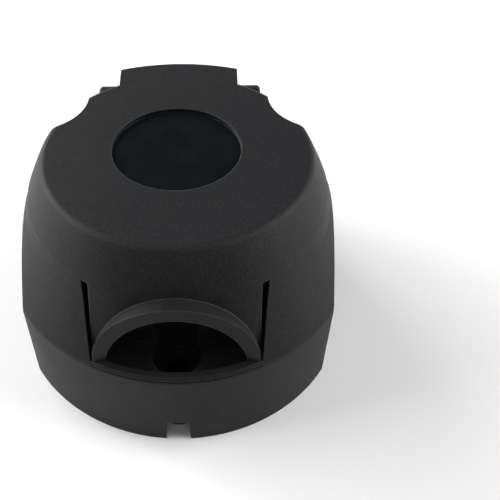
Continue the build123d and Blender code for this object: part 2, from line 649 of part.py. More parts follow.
def make_spring():
    """The torsion spring: a close coil with one leg under the tab and one on the cone."""
    start = Pos(-COIL_LENGTH / 2, HINGE_Y, HINGE_Z) * Rot(0, 90, 0) * Rot(0, 0, 90)
    helix = Helix(COIL_LENGTH / COIL_TURNS, COIL_LENGTH, COIL_R)
    begin = helix @ 0
    ring = Plane(origin=begin, z_dir=helix % 0) * Circle(WIRE_R)
    coil = start * sweep(ring, path=helix, is_frenet=True)
    leg_y = HINGE_Y + COIL_R
    foot_z = WAIST_Z - (leg_y - WIRE_R - WAIST_R) * (WAIST_Z - BEND_Z) / (BODY_R - WAIST_R)
    lower_leg = column(WIRE_R, foot_z + WIRE_R, HINGE_Z, (-COIL_LENGTH / 2, leg_y))
    upper_leg = column(WIRE_R, HINGE_Z, TAB_LIP_Z, (COIL_LENGTH / 2, leg_y))
    return coil + lower_leg + upper_leg


def make_parts():
    """Every piece by name."""
    shell, mouth, bosses = split_moulding()
    parts = {
        "housing": shell,
        "mouth_tube": mouth,
        "screw_bosses": bosses,
        "lid": make_lid(),
        "lid_seal": make_seal(),
        "hinge_pin": make_pin(),
        "lid_spring": make_spring(),
        "contact_carrier": make_carrier(),
    }
    screws = []
    for number, (at, screw_angle) in enumerate(contact_places(), start=1):
        parts[f"contact_{number}"] = make_contact(at, screw_angle)
        screws.append(make_clamp_screw(at, screw_angle))
    parts["clamp_screws"] = Compound(children=screws)
    return parts


os.makedirs("parts", exist_ok=True)
for name, shape in make_parts().items():
    export_step(shape, f"parts/{name}.step")
    print(name, "solids", len(shape.solids()), "volume", round(shape.volume))
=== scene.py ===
# %% [markdown]
# # A 13-pin trailer socket
#
# This lesson dresses a finished CAD model of a trailer socket: a round black plastic housing with
# a spring lid, and thirteen brass contacts in an open chamber behind. The CAD gives almost every
# form and every place. What is left for Blender is the camera, the light, the surfaces, the front
# of the lid, and the parts that follow a rule, which Geometry Nodes make.

# %% Load the CAD frame
import json
from math import asin, cos, pi, radians, sin

import bmesh
import bpy
from mathutils import Matrix, Vector


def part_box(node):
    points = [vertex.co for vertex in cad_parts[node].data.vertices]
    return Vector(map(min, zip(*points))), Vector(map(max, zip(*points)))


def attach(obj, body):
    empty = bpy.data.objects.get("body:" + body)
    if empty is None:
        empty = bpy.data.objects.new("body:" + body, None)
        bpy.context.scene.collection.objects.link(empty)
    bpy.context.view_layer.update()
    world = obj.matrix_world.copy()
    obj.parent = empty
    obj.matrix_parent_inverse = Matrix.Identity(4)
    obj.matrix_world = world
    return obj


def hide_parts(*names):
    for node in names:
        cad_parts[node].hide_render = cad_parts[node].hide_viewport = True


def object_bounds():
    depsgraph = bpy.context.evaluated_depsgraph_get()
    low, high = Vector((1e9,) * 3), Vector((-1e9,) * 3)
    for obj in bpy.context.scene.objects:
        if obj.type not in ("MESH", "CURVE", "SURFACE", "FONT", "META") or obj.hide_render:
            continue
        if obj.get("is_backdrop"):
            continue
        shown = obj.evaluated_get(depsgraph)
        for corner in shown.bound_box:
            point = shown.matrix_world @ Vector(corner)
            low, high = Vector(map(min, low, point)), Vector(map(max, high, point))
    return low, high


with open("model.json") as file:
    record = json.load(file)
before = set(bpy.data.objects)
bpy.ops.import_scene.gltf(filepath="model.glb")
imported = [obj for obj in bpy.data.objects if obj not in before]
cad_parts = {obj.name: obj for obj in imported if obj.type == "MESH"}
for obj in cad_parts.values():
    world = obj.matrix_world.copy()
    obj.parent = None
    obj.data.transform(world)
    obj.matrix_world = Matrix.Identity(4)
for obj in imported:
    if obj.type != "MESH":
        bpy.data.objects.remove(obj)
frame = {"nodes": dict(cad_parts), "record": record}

MM = 0.001
cad_low, cad_high = (list(corner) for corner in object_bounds())


def size_in_mm(low, high):
    """A box's three sides in millimetres, for printing."""
    return [round((h - l) / MM, 1) for l, h in zip(low, high)]


print("nodes", len(frame["nodes"]), "box in mm", size_in_mm(cad_low, cad_high))

# %% [markdown]
# ## The camera
#
# The socket stands on its mounting rim and is seen from above and in front, a little from its
# right. A camera can be aimed with a Track To constraint, but its own matrix is plainer and leaves
# nothing to be evaluated: three perpendicular directions and a place. The lens shift slides the
# object to its place in the frame without turning the camera.

# %% Aim the camera
VIEW_DISTANCE = 0.22709
VIEW_ELEVATION = radians(51.965)
VIEW_TURN = radians(2.5)
VIEW_ROLL = radians(2.1)
LENS = 58.915
SHIFT = (0.1371, 0.0992)
CLIP_START = 0.01


def put_in_scene(name, data):
    """A new object at the origin, linked to the scene."""
    thing = bpy.data.objects.new(name, data)
    bpy.context.scene.collection.objects.link(thing)
    return thing


def aim_camera():
    """A camera that looks at the origin, from its direction, distance and roll."""
    level = cos(VIEW_ELEVATION)
    away = Vector((level * sin(VIEW_TURN), -level * cos(VIEW_TURN), sin(VIEW_ELEVATION)))
    right = Vector((0, 0, 1)).cross(away).normalized()
    up = away.cross(right)
    rolled_right = right * cos(VIEW_ROLL) - up * sin(VIEW_ROLL)
    rolled_up = right * sin(VIEW_ROLL) + up * cos(VIEW_ROLL)
    turn = Matrix((rolled_right, rolled_up, away)).transposed().to_4x4()
    data = bpy.data.cameras.new("studio_camera")
    data.lens = LENS
    data.shift_x, data.shift_y = SHIFT
    data.clip_start = CLIP_START
    camera = put_in_scene("studio_camera", data)
    camera.matrix_world = Matrix.Translation(away * VIEW_DISTANCE) @ turn
    bpy.context.scene.camera = camera
    return camera


camera = aim_camera()
print("camera at", [round(v, 4) for v in camera.location])

# %% [markdown]
# ## A kit for nodes and finishes
#
# Every finish here is procedural and reads Object coordinates, which stay with the piece when it
# turns. The same few nodes return in each: noise for grain, a ramp that narrows it, a bump. In a
# script most lines of a node tree only add a node or link it, so short helpers do that for any
# tree, and the recipes stay readable.

# %% Node helpers


class NodeKit:
    """Short ways to add nodes to a tree and to link them."""

    def __init__(self, tree):
        self.tree = tree

    def feed(self, socket, value):
        """Links an output to a socket, or sets the socket to a plain value."""
        if isinstance(value, bpy.types.NodeSocket):
            self.tree.links.new(value, socket)
        else:
            socket.default_value = value

    def add(self, kind, settings=(), **inputs):
        """One node, with its settings and its inputs, which may be values or other outputs."""
        node = self.tree.nodes.new(kind)
        for key, value in dict(settings).items():
            setattr(node, key, value)
        for key, value in inputs.items():
            self.feed(node.inputs[key.replace("_", " ")], value)
        return node

    def step(self, kind, operation, values):
        """One node of arithmetic, with its values in order."""
        node = self.add(kind, {"operation": operation})
        for socket, value in zip(node.inputs, values):
            self.feed(socket, value)
        return node

    def maths(self, operation, *values):
        """One step of arithmetic."""
        return self.step("ShaderNodeMath", operation, values).outputs[0]

    def vectors(self, operation, *values):
        """One step of vector arithmetic, whose result is a number where the step measures."""
        measures = operation in ("LENGTH", "DOT_PRODUCT")
        node = self.step("ShaderNodeVectorMath", operation, values)
        return node.outputs["Value" if measures else "Vector"]

    def between(self, value, low, high, start=0.0, end=1.0, ease="LINEAR"):
        """What runs from start to end, mapped so that it runs from low to high."""
        node = self.add("ShaderNodeMapRange", {"interpolation_type": ease}, Value=value,
                        From_Min=start, From_Max=end, To_Min=low, To_Max=high)
        return node.outputs["Result"]


print("node kit ready")

# %% Finish helpers
COLOUR_IN = (6, 7)  # a Mix node has sockets for every kind of data, and these are its colours
COLOUR_OUT = 2
BEVEL_SAMPLES = 4


class Finish(NodeKit):
    """A new material, with a few short ways to shape its surface."""

    def __init__(self, name, colour, roughness, specular=0.5, metallic=0.0):
        self.material = bpy.data.materials.new(name)
        self.material.use_nodes = True
        super().__init__(self.material.node_tree)
        self.shader = self.tree.nodes["Principled BSDF"]
        self.shader.inputs["Base Color"].default_value = (*colour, 1.0)
        self.shader.inputs["Roughness"].default_value = roughness
        self.shader.inputs["Specular IOR Level"].default_value = specular
        self.shader.inputs["Metallic"].default_value = metallic
        self.where = self.add("ShaderNodeTexCoord").outputs["Object"]

    def noise(self, size, detail=2.0, roughness=0.5):
        """Noise whose features are about as large as a size in metres."""
        node = self.add("ShaderNodeTexNoise", Vector=self.where, Scale=1 / size, Detail=detail,
                        Roughness=roughness)
        return node.outputs["Fac"]

    def blend(self, amount, first, second):
        """Two colours mixed by an amount. Each may be a colour or another output."""
        node = self.add("ShaderNodeMix", {"data_type": "RGBA"}, Factor=amount)
        for index, value in zip(COLOUR_IN, (first, second)):
            plain = isinstance(value, tuple)
            self.feed(node.inputs[index], (*value, 1.0) if plain else value)
        return node.outputs[COLOUR_OUT]

    def mix(self, amount, first, second):
        """Two numbers mixed by an amount."""
        return self.add("ShaderNodeMix", Factor=amount, A=first, B=second).outputs[0]

    def rounded(self, radius):
        """A normal that turns smoothly across edges, as if they were rounded."""
        node = self.add("ShaderNodeBevel", {"samples": BEVEL_SAMPLES}, Radius=radius)
        return node.outputs["Normal"]

    def colour(self, output):
        """Sets what the surface takes its colour from."""
        self.feed(self.shader.inputs["Base Color"], output)

    def rough(self, output):
        """Sets what the surface takes its roughness from."""
        self.feed(self.shader.inputs["Roughness"], output)

    def relief(self, height, depth, strength, normal=None):
        """Bump of a real depth in metres, on top of another normal where one is given."""
        bump = self.add("ShaderNodeBump", Height=height, Distance=depth, Strength=strength)
        if normal is not None:
            self.feed(bump.inputs["Normal"], normal)
        self.feed(self.shader.inputs["Normal"], bump.outputs["Normal"])


print("finish kit ready")

# %% [markdown]
# ## Floor and light
#
# Black plastic shows mostly what it reflects, so the light decides how its form reads. Four soft
# lamps stand in pairs at the left and the right and draw a bright band down each shoulder, and a
# weak one in front lifts the skirt. Everything else that the socket mirrors is white, so two dark
# cards, which only reflections see, keep the lid's top and the face of its lift dark. The floor
# is pale, so that it carries the socket's shadow, and further off it passes into the white.

# %% Floor and world
FLOOR_COLOUR = (0.92, 0.92, 0.92)
FLOOR_HALF = 3.0
FLOOR_FADE = (0.22, 0.55)
WHITE = (1.0, 1.0, 1.0, 1.0)
WORLD_GLOW = 0.16
SQUARE = ((-1, -1), (1, -1), (1, 1), (-1, 1))


def seen_rays(kit):
    """One for what the eye sees, straight, mirrored or through glass, and zero for other light."""
    path = kit.add("ShaderNodeLightPath")
    seen = path.outputs["Is Camera Ray"]
    for kind in ("Is Glossy Ray", "Is Transmission Ray"):
        seen = kit.maths("MAXIMUM", seen, path.outputs[kind])
    return seen


def fade_floor(paint):
    """Lets the floor pass into the white surround some way off, beyond the socket's shadow."""
    start, end = FLOOR_FADE
    away = paint.between(paint.vectors("LENGTH", paint.where), 0.0, 1.0, start, end, "SMOOTHSTEP")
    share = paint.maths("MULTIPLY", away, seen_rays(paint))
    white = paint.add("ShaderNodeEmission")
    mixed = paint.add("ShaderNodeMixShader")
    for socket, output in zip(mixed.inputs, (share, paint.shader.outputs[0], white.outputs[0])):
        paint.feed(socket, output)
    paint.feed(paint.tree.nodes["Material Output"].inputs["Surface"], mixed.outputs[0])


def studio_card(name, corners, paint):
    """A flat painted card of four corners."""
    mesh = bpy.data.meshes.new(name)
    mesh.from_pydata(corners, [], [(0, 1, 2, 3)])
    mesh.materials.append(paint.material)
    return put_in_scene(name, mesh)


def lay_floor():
    """A large pale floor under the mounting rim."""
    paint = Finish("studio_floor_paint", FLOOR_COLOUR, roughness=0.9, specular=0.1)
    fade_floor(paint)
    corners = [(FLOOR_HALF * x, FLOOR_HALF * y, cad_low[2]) for x, y in SQUARE]
    floor = studio_card("studio_floor", corners, paint)
    floor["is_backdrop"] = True


def light_world():
    """A white surround for what the eye and the reflections see, weaker as a light."""
    world = bpy.data.worlds.new("studio_surround")
    world.use_nodes = True
    kit = NodeKit(world.node_tree)
    background = world.node_tree.nodes["Background"]
    kit.feed(background.inputs["Color"], WHITE)
    kit.feed(background.inputs["Strength"], kit.between(seen_rays(kit), WORLD_GLOW, 1.0))
    bpy.context.scene.world = world


lay_floor()
light_world()
bpy.context.scene.view_settings.view_transform = "Standard"
print("floor of", 2 * FLOOR_HALF, "m, white from", FLOOR_FADE[1], "m outwards")

# %% Lamps and dark cards
LAMPS = {
    # name: (place, width, height, watts)
    "left_softbox": ((-0.62, 0.06, 0.28), 0.60, 0.50, 6.2),
    "left_rear_softbox": ((-0.50, 0.45, 0.32), 0.50, 0.50, 4.6),
    "right_softbox": ((0.62, -0.02, 0.22), 0.60, 0.40, 3.4),
    "right_high_softbox": ((0.60, 0.06, 0.60), 0.50, 0.50, 2.6),
    "front_softbox": ((0.0, -0.55, 0.60), 0.60, 0.30, 0.4),
}
FLAGS = {
    # name: (place, width, height)
    "rear_flag": ((0.0, 0.44, 0.50), 0.70, 0.62),
    "front_flag": ((0.0, -0.105, 0.03), 0.30, 0.06),
}
FLAG_COLOUR = (0.020, 0.026, 0.034)
AIM = Vector((0.0, 0.0, 0.03))


def hang_lamp(name, place, width, height, watts):
    """A soft rectangular lamp that faces the socket."""
    data = bpy.data.lights.new(name, "AREA")
    data.shape = "RECTANGLE"
    data.size, data.size_y = width, height
    data.energy = watts
    lamp = put_in_scene(name, data)
    lamp.location = place
    lamp.rotation_euler = (AIM - Vector(place)).to_track_quat("-Z", "Y").to_euler()


def hang_flag(name, place, width, height):
    """A dark card that faces the socket and that only reflections see."""
    middle = Vector(place)
    across = Vector((1.0, 0.0, 0.0))
    along = (AIM - middle).normalized().cross(across)
    corners = [middle + across * width / 2 * x + along * height / 2 * y for x, y in SQUARE]
    paint = Finish(name + "_paint", FLAG_COLOUR, roughness=1.0, specular=0.0)
    flag = studio_card(name, corners, paint)
    flag.visible_camera = False
    flag.visible_diffuse = False
    flag.visible_shadow = False
    flag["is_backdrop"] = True


for name, settings in LAMPS.items():
    hang_lamp(name, *settings)
for name, settings in FLAGS.items():
    hang_flag(name, *settings)
print("lamps", list(LAMPS), "dark cards", list(FLAGS))

# %% [markdown]
# ## Spark-eroded black plastic
#
# The mould of the housing and the lid is finished by spark erosion, which leaves a fine even grain
# on the plastic: it is matt, its hollows are painted darker as painted shade and its crests paler
# as painted light. Two sizes of noise make the grain, a broad one mottles the gloss, and a Bevel
# node rounds the shading of the sharp edges as the mould does, which also gives a mask for the
# edges,
# where the colour is painted paler: partly wear, partly painted highlight.

# %% Moulded plastic
PLASTIC = (0.0170, 0.0177, 0.0191)
# the grain's hollows painted darker: painted shade
PAINTED_HOLLOW_SHADE = tuple(0.40 * c for c in PLASTIC)
# paler colours painted along the edges: partly wear, partly painted highlight
HOUSING_EDGE_WEAR_AND_HIGHLIGHT = (0.045, 0.046, 0.048)
LID_EDGE_WEAR_AND_HIGHLIGHT = (0.095, 0.097, 0.100)
# the dial's colour, painted darker than the plastic: a painted dark reflection
POLISHED_AND_PAINTED_DARK = (0.0040, 0.0056, 0.0070)
PLASTIC_ROUGHNESS, PLASTIC_SPECULAR = 0.52, 0.12
EDGE_ROUND = 0.35 * MM
FINE_GRAIN, COARSE_GRAIN = 0.16 * MM, 0.50 * MM
FINE_SHARE = 0.6
GRAIN_DEPTH = 0.055 * MM
POLISHED_SHARE = 0.02
WORN_PATCH, CLOUD, HAZE = 2.5 * MM, 14 * MM, 6 * MM


def edge_wear_and_highlight_mask(finish, rounded):
    """The mask for the paler edges, partly wear and partly painted highlight: up to one along the
    edges, in patches, and zero on the faces between them.
    """
    flat = finish.add("ShaderNodeNewGeometry").outputs["Normal"]
    facing = finish.vectors("DOT_PRODUCT", rounded, flat)
    edge = finish.between(facing, 1.0, 0.0, start=0.80, end=0.995)
    patchy = finish.between(finish.noise(WORN_PATCH, detail=4.0), 0.5, 1.0, start=0.40, end=0.62)
    return finish.maths("MULTIPLY", edge, patchy)


def moulded_plastic(name, edge_wear_and_highlight, polish=None):
    """Black plastic with a spark-eroded grain, soft edges and a paler colour along them: wear and
    painted highlight.

    A polish marks where the mould is smooth: there the plastic has no grain and is painted darker,
    a painted dark reflection.
    """
    finish = Finish(name, PLASTIC, PLASTIC_ROUGHNESS, specular=PLASTIC_SPECULAR)
    rounded = finish.rounded(EDGE_ROUND)
    fine = finish.noise(FINE_GRAIN, detail=3.0, roughness=0.6)
    coarse = finish.noise(COARSE_GRAIN)
    grain = finish.maths("ADD", finish.maths("MULTIPLY", fine, FINE_SHARE), coarse)
    # painted shade in the grain's hollows and painted light on its crests
    crest_light = finish.between(grain, 0.0, 1.0, start=0.55, end=1.05)
    tint = finish.blend(edge_wear_and_highlight_mask(finish, rounded), finish.blend(crest_light, PAINTED_HOLLOW_SHADE, PLASTIC), edge_wear_and_highlight)
    mottle = finish.maths("ADD", finish.noise(CLOUD, detail=3.0), fine)
    roughness = finish.between(mottle, 0.46, 0.58, start=0.6, end=1.4)
    if polish:
        mask = polish(finish)
        tint = finish.blend(mask, tint, POLISHED_AND_PAINTED_DARK)
        haze = finish.between(finish.noise(HAZE, detail=4.0), 0.20, 0.30, start=0.3, end=0.7)
        roughness = finish.mix(mask, roughness, haze)
        grain = finish.mix(mask, grain, finish.maths("MULTIPLY", grain, POLISHED_SHARE))
    finish.colour(tint)
    finish.rough(roughness)
    finish.relief(grain, GRAIN_DEPTH, strength=0.8, normal=rounded)
    return finish.material


def give(material, *nodes):
    """Puts a material on every slot of some CAD nodes."""
    for name in nodes:
        mesh = frame["nodes"][name].data
        if not mesh.materials:
            mesh.materials.append(material)
        for index in range(len(mesh.materials)):
            mesh.materials[index] = material
    print(material.name, "on", len(nodes), "CAD nodes")


give(moulded_plastic("housing_plastic", HOUSING_EDGE_WEAR_AND_HIGHLIGHT), "housing", "mouth_tube", "screw_bosses")

# %% [markdown]
# ## The polished dial
#
# The round recess in the lid's top is polished in the mould, so the same black plastic is smooth
# there, and its colour is painted darker, as a painted dark reflection. It belongs to the lid's own
# mesh, so the finish has to change inside one material: the distance from the dial's middle marks
# the disc, and a height that follows the lid's tilt keeps the mark off the inside of the lid.

# %% Lid plastic with its polished dial
DIAL_MIDDLE = Vector((0.0, 2.7, 0.0)) * MM
DIAL_R = 14.87 * MM
DIAL_FLOOR = 51.6 * MM
LID_SLOPE = 0.0638


def dial_mask(finish):
    """One on the dial's floor and zero on the rest of the lid."""
    from_middle = finish.vectors("SUBTRACT", finish.where, DIAL_MIDDLE)
    level = finish.vectors("MULTIPLY", from_middle, (1.0, 1.0, 0.0))
    inside = finish.maths("LESS_THAN", finish.vectors("LENGTH", level), DIAL_R)
    rise = finish.vectors("DOT_PRODUCT", finish.where, (0.0, LID_SLOPE, 1.0))
    upper = finish.maths("GREATER_THAN", rise, DIAL_FLOOR)
    return finish.maths("MULTIPLY", inside, upper)


lid_plastic = moulded_plastic("lid_plastic", LID_EDGE_WEAR_AND_HIGHLIGHT, dial_mask)
print("plastic for the lid, polished within", DIAL_R / MM, "mm of the dial's middle")

# %% [markdown]
# ## The insert, the seal and the metals
#
# The contact carrier is moulded smooth in a harder plastic. The seal is rubber, soft and dusty.
# Brass contacts come off a lathe, which leaves fine rings round them: a wave along their axis
# does that. The pin, the clamp screws and the spring are steel.

# %% Carrier and seal
CARRIER = (0.011, 0.0115, 0.0125)
CARRIER_DARK, CARRIER_PALE = (0.009, 0.0095, 0.0105), (0.015, 0.0155, 0.017)
CARRIER_EDGE = 0.2 * MM
SEAL = (0.012, 0.012, 0.0125)
SEAL_CLEAN, SEAL_DUSTY = (0.010, 0.010, 0.0105), (0.03, 0.0295, 0.028)


def smooth_plastic():
    """The carrier's hard smooth plastic, with faint flow marks."""
    finish = Finish("insert_plastic", CARRIER, roughness=0.38, specular=0.4)
    flow = finish.noise(5 * MM, detail=5.0, roughness=0.65)
    marks = finish.between(flow, 0.0, 1.0, start=0.35, end=0.65)
    finish.colour(finish.blend(marks, CARRIER_DARK, CARRIER_PALE))
    finish.rough(finish.between(flow, 0.32, 0.46, start=0.3, end=0.7))
    rounded = finish.rounded(CARRIER_EDGE)
    finish.relief(finish.noise(0.5 * MM), depth=0.008 * MM, strength=0.6, normal=rounded)
    return finish.material


def seal_rubber():
    """Soft black rubber with a trace of dust."""
    finish = Finish("seal_rubber", SEAL, roughness=0.75, specular=0.3)
    specks = finish.noise(1.8 * MM, detail=5.0, roughness=0.7)
    dust = finish.between(specks, 0.0, 0.7, start=0.5, end=0.75)
    finish.colour(finish.blend(dust, SEAL_CLEAN, SEAL_DUSTY))
    finish.rough(finish.between(dust, 0.65, 0.85))
    finish.relief(finish.noise(0.3 * MM), depth=0.02 * MM, strength=0.7)
    return finish.material


give(smooth_plastic(), "contact_carrier")
give(seal_rubber(), "lid_seal")

# %% Turned and drawn metals
BRASS, BRASS_DULL = (0.76, 0.55, 0.22), (0.52, 0.34, 0.12)
ZINC, ZINC_DULL = (0.74, 0.75, 0.76), (0.52, 0.52, 0.51)
WIRE = (0.52, 0.53, 0.54)
WIRE_BRIGHT, WIRE_DARK = (0.55, 0.56, 0.57), (0.30, 0.30, 0.31)
WAVE_RATE = 20  # how many radians a Wave node turns in a metre at a scale of one
RINGS = {"wave_type": "BANDS", "bands_direction": "Z", "wave_profile": "SIN"}
TOOL_MARK = 0.006 * MM
TARNISH_ROUGHENS = 0.18
contacts = [f"contact_{number}" for number in range(1, 14)]


def turned_metal(name, colour, dull, roughness, radian):
    """Metal off a lathe: fine rings along the axis, and a thin tarnish in patches.

    The last value is the length of one radian of the wave, so a ring is 2 pi times as long.
    """
    finish = Finish(name, colour, roughness, metallic=1.0)
    patches = finish.noise(2.2 * MM, detail=5.0, roughness=0.6)
    tarnish = finish.between(patches, 0.0, 1.0, start=0.45, end=0.72)
    finish.colour(finish.blend(tarnish, colour, dull))
    finish.rough(finish.between(tarnish, roughness, roughness + TARNISH_ROUGHENS))
    rings = finish.add("ShaderNodeTexWave", RINGS, Vector=finish.where,
                       Scale=1 / (WAVE_RATE * radian), Distortion=0.4)
    finish.relief(rings.outputs["Fac"], TOOL_MARK, strength=0.5)
    return finish.material


def drawn_wire():
    """Spring steel, drawn bright, with faint streaks."""
    finish = Finish("spring_steel", WIRE, roughness=0.3, metallic=1.0)
    streak = finish.noise(0.7 * MM, detail=4.0)
    dark = finish.between(streak, 0.0, 1.0, start=0.4, end=0.7)
    finish.colour(finish.blend(dark, WIRE_BRIGHT, WIRE_DARK))
    finish.rough(finish.between(streak, 0.24, 0.42, start=0.3, end=0.7))
    finish.relief(streak, TOOL_MARK, strength=0.5)
    return finish.material


contact_brass = turned_metal("contact_brass", BRASS, BRASS_DULL, roughness=0.26, radian=0.12 * MM)
screw_steel = turned_metal("screw_steel", ZINC, ZINC_DULL, roughness=0.28, radian=0.10 * MM)
spring_steel = drawn_wire()
give(contact_brass, *contacts)
give(screw_steel, "hinge_pin", "clamp_screws")

# %% [markdown]
# ## Solid forms by cutting and joining
#
# The lid's front is plain geometry: flat and turned faces that meet in crisp edges. Prisms and
# turned sectors that are cut and joined by exact booleans give it directly, where sculpting would
# only come near. Each form is closed before it is used, because a boolean needs to know its inside.

# %% Forms from points


def skin(name, rings):
    """A closed form through rings of as many points each, with its first and last ring filled."""
    count = len(rings[0])
    last = (len(rings) - 1) * count
    faces = [tuple(range(count)), tuple(last + index for index in range(count))]
    for ring in range(len(rings) - 1):
        for index in range(count):
            here, beside = ring * count + index, ring * count + (index + 1) % count
            faces.append((here, beside, beside + count, here + count))
    mesh = bpy.data.meshes.new(name)
    mesh.from_pydata([point for ring in rings for point in ring], [], faces)
    shape = bmesh.new()
    shape.from_mesh(mesh)
    bmesh.ops.recalc_face_normals(shape, faces=shape.faces)
    shape.to_mesh(mesh)
    shape.free()
    return put_in_scene(name, mesh)


def sector(name, profile, half_angle, steps):
    """A profile of (radius, height) points turned round Z, as far to each side of the front."""
    rings = []
    for step in range(steps + 1):
        angle = half_angle * (2 * step / steps - 1) - pi / 2
        rings.append([(r * cos(angle), r * sin(angle), height) for r, height in profile])
    return skin(name, rings)


print("forms ready")

# %% Cutting, joining and shading
CREASE = radians(25)
FLAT_FACE_WEIGHT = 100
SAME_POINT = 0.001 * MM


def settle(piece):
    """Turns what a piece's modifiers make into its own plain mesh."""
    evaluated = piece.evaluated_get(bpy.context.evaluated_depsgraph_get())
    mesh = bpy.data.meshes.new_from_object(evaluated)
    piece.modifiers.clear()
    piece.data = mesh


def combine(piece, other, operation):
    """Cuts, crosses or joins two closed forms and keeps the result in the first."""
    modifier = piece.modifiers.new("combine", "BOOLEAN")
    modifier.operation = operation
    modifier.solver = "EXACT"
    modifier.object = other
    settle(piece)
    bpy.data.objects.remove(other)
    return piece


def merged_copy(node):
    """A copy of a CAD node as one connected mesh, without its stored normals."""
    mesh = frame["nodes"][node].data.copy()
    for name in ("custom_normal", "sharp_edge", "sharp_face"):
        if name in mesh.attributes:
            mesh.attributes.remove(mesh.attributes[name])
    shape = bmesh.new()
    shape.from_mesh(mesh)
    bmesh.ops.remove_doubles(shape, verts=shape.verts, dist=SAME_POINT)
    open_edges = sum(1 for edge in shape.edges if not edge.is_manifold)
    shape.to_mesh(mesh)
    shape.free()
    print(node, "copied with", open_edges, "open edges")
    return put_in_scene(node + "_copy", mesh)


def shade(piece):
    """Smooth shading that breaks at creases, with the large faces kept flat."""
    piece.data.shade_smooth()
    piece.data.set_sharp_from_angle(angle=CREASE)
    modifier = piece.modifiers.new("weigh", "WEIGHTED_NORMAL")
    modifier.keep_sharp = True
    modifier.weight = FLAT_FACE_WEIGHT
    settle(piece)


print("cutting and joining ready")

# %% [markdown]
# ## The lid's front and its finger lift
#
# The finger lift is a round arch with a flat face, like a horseshoe set on the lid's front: its
# face stands upright, just inside the skirt, and its two feet end a hair above the sill. The plate
# behind the arch is turned and flares towards its foot. The CAD lid has a lift whose face follows
# the skirt's curve, so here the lid is copied, its front is cut away, and a plate and a flat-faced
# lift are made and joined to it.

# %% The arch of the finger lift
lid_low, lid_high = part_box("lid")
ARCH_FACE_Y = lid_low[1] + 0.3 * MM
ARCH_ROOT_Y = -34.9 * MM
ARCH_BACK_Y = -31.0 * MM
ARCH_FOOT_Z = 26.7 * MM
# Each of the arch's outlines is part of an ellipse: its half width, middle and half height.
ARCH_OUTER = (18.7 * MM, 27.3 * MM, 17.7 * MM)
ARCH_ROOT = (20.35 * MM, 16.7 * MM, 28.15 * MM)
ARCH_INNER = (16.0 * MM, 24.4 * MM, 16.95 * MM)
ARCH_STEPS = 96
SPARE = 1 * MM  # how far a cutting form stands past what it cuts, up and down
BEYOND = 8 * MM  # and how far the opening's form does, fore and aft


def arch_outline(form, foot, y):
    """Points round the part of an ellipse above its foot, at one depth."""
    half_width, centre, height = form
    start = asin((foot - centre) / height)
    points = []
    for step in range(ARCH_STEPS + 1):
        angle = start + (pi - 2 * start) * step / ARCH_STEPS
        points.append((half_width * cos(angle), y, centre + height * sin(angle)))
    return points


def arch_body():
    """The arch's outside, which draws in from its face to its root on the plate."""
    rings = [arch_outline(ARCH_OUTER, ARCH_FOOT_Z, ARCH_FACE_Y)]
    for y in (ARCH_ROOT_Y, ARCH_BACK_Y):
        rings.append(arch_outline(ARCH_ROOT, ARCH_FOOT_Z, y))
    return skin("arch_body", rings)


def arch_opening():
    """What is cut through the arch and the plate behind it."""
    depths = (ARCH_FACE_Y - BEYOND, ARCH_BACK_Y + BEYOND)
    return skin("arch_opening", [arch_outline(ARCH_INNER, ARCH_FOOT_Z - SPARE, y) for y in depths])


print("arch face at y", round(ARCH_FACE_Y / MM, 2), "mm")

# %% The plate behind it
LID_RIM_Z = 43.8 * MM
PLATE_HEAD_R = 35.2 * MM
PLATE_FOOT_R = 40.8 * MM
PLATE_T = 2.15 * MM
PLATE_HEAD_HALF_W = 18.65 * MM
PLATE_FOOT_HALF_W = 18.9 * MM
PLATE_ROOT = 0.6 * MM
PLATE_SPREAD, PLATE_STEPS = radians(42), 84
ROOM_SPREAD, ROOM_STEPS = radians(60), 120
ROOM_INNER_R = 10 * MM
CUT_SPREAD, CUT_STEPS = radians(36), 144
CUT_INNER_R, CUT_OUTER_R = 20 * MM, 50 * MM
CUT_RISE = 3 * MM
SEAM_DROP, SEAM_GAP = 0.04 * MM, 0.01 * MM


def plate_radius(height):
    """Outer radius of the plate at a height."""
    share = (LID_RIM_Z - height) / (LID_RIM_Z - ARCH_FOOT_Z)
    return PLATE_HEAD_R + (PLATE_FOOT_R - PLATE_HEAD_R) * share


def front_plate():
    """The turned plate that hangs in the slot and flares towards its foot."""
    foot, head = ARCH_FOOT_Z, LID_RIM_Z + PLATE_ROOT
    profile = [
        (PLATE_FOOT_R - PLATE_T, foot),
        (PLATE_FOOT_R, foot),
        (PLATE_HEAD_R, LID_RIM_Z),
        (PLATE_HEAD_R - PLATE_ROOT, head),
        (PLATE_HEAD_R - PLATE_T + PLATE_ROOT, head),
        (PLATE_HEAD_R - PLATE_T, LID_RIM_Z),
    ]
    plate = sector("front_plate", profile, PLATE_SPREAD, PLATE_STEPS)
    sides = [(-PLATE_FOOT_HALF_W, foot - SPARE), (PLATE_FOOT_HALF_W, foot - SPARE)]
    sides += [(PLATE_HEAD_HALF_W, head + SPARE), (-PLATE_HEAD_HALF_W, head + SPARE)]
    depths = (-CUT_OUTER_R, -CUT_INNER_R)
    trim = skin("plate_sides", [[(x, y, z) for x, z in sides] for y in depths])
    return combine(plate, trim, "INTERSECT")


def inside_of_plate():
    """The room behind the plate, which nothing of the front may fill."""
    foot, head = ARCH_FOOT_Z - SPARE, lid_high[2]
    profile = [
        (ROOM_INNER_R, foot),
        (plate_radius(foot) - PLATE_T, foot),
        (PLATE_HEAD_R - PLATE_T, LID_RIM_Z),
        (PLATE_HEAD_R - PLATE_T, head),
        (ROOM_INNER_R, head),
    ]
    return sector("inside_of_plate", profile, ROOM_SPREAD, ROOM_STEPS)


